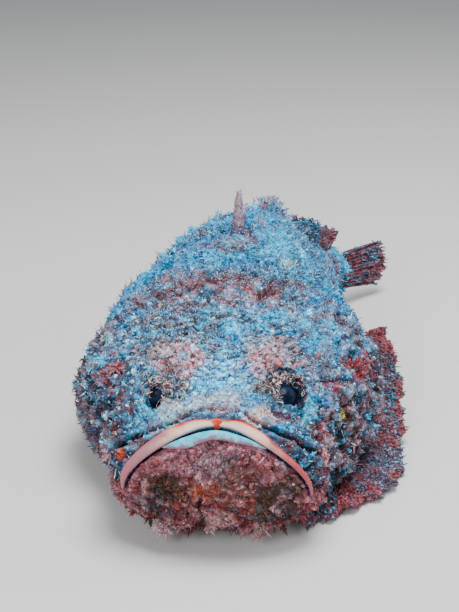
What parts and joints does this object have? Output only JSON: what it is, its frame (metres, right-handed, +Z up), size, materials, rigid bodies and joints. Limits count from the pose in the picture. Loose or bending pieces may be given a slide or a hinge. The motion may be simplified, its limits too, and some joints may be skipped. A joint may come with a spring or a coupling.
{
  "type": "stonefish",
  "caption": "Still life-size stonefish lying on its belly, broad warty head with an upturned frowning mouth, humped back, spread pectoral fins and a curved tail.",
  "frame": {"origin": "middle of the bounding box on the floor that the fish lies on", "axes": "-Y towards the mouth, +X towards the fish's left side, +Z up"},
  "size_m": [0.1644, 0.2896, 0.1177],
  "materials": {
    "skin": "matte, warty, mottled blue-grey and mauve",
    "lip": "smooth, satin, pale pink",
    "fin": "matte, ribbed, mottled maroon and grey",
    "eye": "wet and dark"
  },
  "bodies": {
    "root": {"head": "skin", "lower_jaw": "skin", "upper_lip": "lip", "gill_cover_left": "skin", "gill_cover_right": "skin", "torso": "skin", "tail_stalk": "skin", "dorsal_fin_spiny": "fin", "dorsal_fin_soft": "fin", "anal_fin": "fin", "caudal_fin": "fin", "pectoral_fin_left": "fin", "pectoral_fin_right": "fin", "pelvic_fin_left": "fin", "pelvic_fin_right": "fin", "eye_left": "eye", "eye_right": "eye"}
  },
  "joints": []
}
